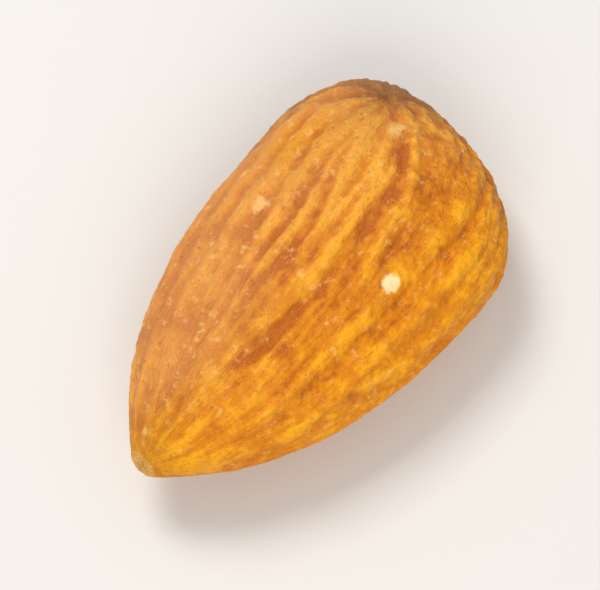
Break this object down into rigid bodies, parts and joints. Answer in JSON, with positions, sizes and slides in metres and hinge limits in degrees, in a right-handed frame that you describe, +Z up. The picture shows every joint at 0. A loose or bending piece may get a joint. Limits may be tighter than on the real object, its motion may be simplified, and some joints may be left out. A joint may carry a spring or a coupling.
{
  "type": "almond",
  "caption": "Shelled almond kernel in its brown skin, a flattened teardrop with lengthwise furrows, lying on its broad face.",
  "frame": {"origin": "on the surface that the kernel rests on, under the middle of its box", "axes": "+X from the pointed tip to the rounded blunt end, +Y across the width, +Z up through the thickness"},
  "size_m": [0.0244, 0.0148, 0.0086],
  "materials": {
    "almond_skin": "matt furrowed seed skin, orange-brown with golden crests and redder furrows"
  },
  "bodies": {
    "root": {"almond_kernel": "almond_skin"}
  },
  "joints": []
}
